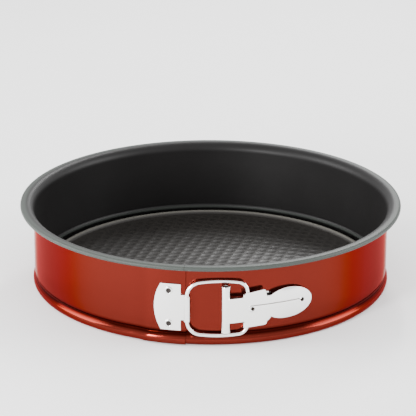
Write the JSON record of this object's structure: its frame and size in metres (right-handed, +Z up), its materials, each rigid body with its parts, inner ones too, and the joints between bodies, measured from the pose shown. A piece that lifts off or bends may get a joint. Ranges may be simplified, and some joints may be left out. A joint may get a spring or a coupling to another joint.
{
  "type": "springform baking pan",
  "caption": "Round springform cake pan: an opening steel side ring with a flared, rolled rim, closed round a loose base plate by an over-centre lever clamp with a wire bail.",
  "frame": {"origin": "centre of the circle that the pan stands on, at table level", "axes": "+Z up along the pan's axis, -Y towards the clamp at the front, +X to the right seen from the front"},
  "size_m": [0.2807, 0.2808, 0.0617],
  "materials": {
    "red_lacquer": "glossy red enamel outside, dark non-stick coating inside and on the rim",
    "nonstick_base": "satin dark non-stick coating with a pressed waffle pattern",
    "bracket_plate": "bright nickel-plated steel",
    "rivet": "bright nickel-plated steel",
    "bail_wire": "polished plated wire",
    "lever_sheet": "polished plated sheet",
    "pin_steel": "plain plated steel"
  },
  "bodies": {
    "ring": {"side_band": "red_lacquer", "lever_bracket": "bracket_plate", "lever_bracket_rivet_upper": "rivet", "lever_bracket_rivet_lower": "rivet", "hinge_pin": "pin_steel"},
    "base": {"base_plate": "nonstick_base"},
    "lever": {"lever": "lever_sheet"},
    "ring_end": {"bail_bracket": "bracket_plate", "bail_bracket_rivet_upper": "rivet", "bail_bracket_rivet_lower": "rivet"},
    "bail": {"bail": "bail_wire"}
  },
  "joints": [
    {"name": "lever_swing", "type": "hinge", "parent": "ring", "child": "lever", "pos_m": [0.0107, -0.13396, 0.028], "axis": [0, 0, -1], "range_deg": [0, 130]},
    {"name": "ring_open", "type": "hinge", "parent": "ring", "child": "ring_end", "pos_m": [0, 0.1304, 0.0287], "axis": [0, 0, -1], "range_deg": [0, 3.26], "deforming": ["side_band"]},
    {"name": "bail_swing", "type": "hinge", "parent": "ring_end", "child": "bail", "pos_m": [-0.016, -0.13323, 0.0287], "axis": [0, 0, -1], "range_deg": [0, 16.1]},
    {"name": "base_lift", "type": "slide", "parent": "ring", "child": "base", "axis": [0, 0, 1], "range_m": [0, 0.09]}
  ],
  "couplings": [
    {"joint": "ring_open", "follows": "lever_swing", "ratio": 0.025025},
    {"joint": "bail_swing", "follows": "lever_swing", "ratio": 0.12308}
  ]
}
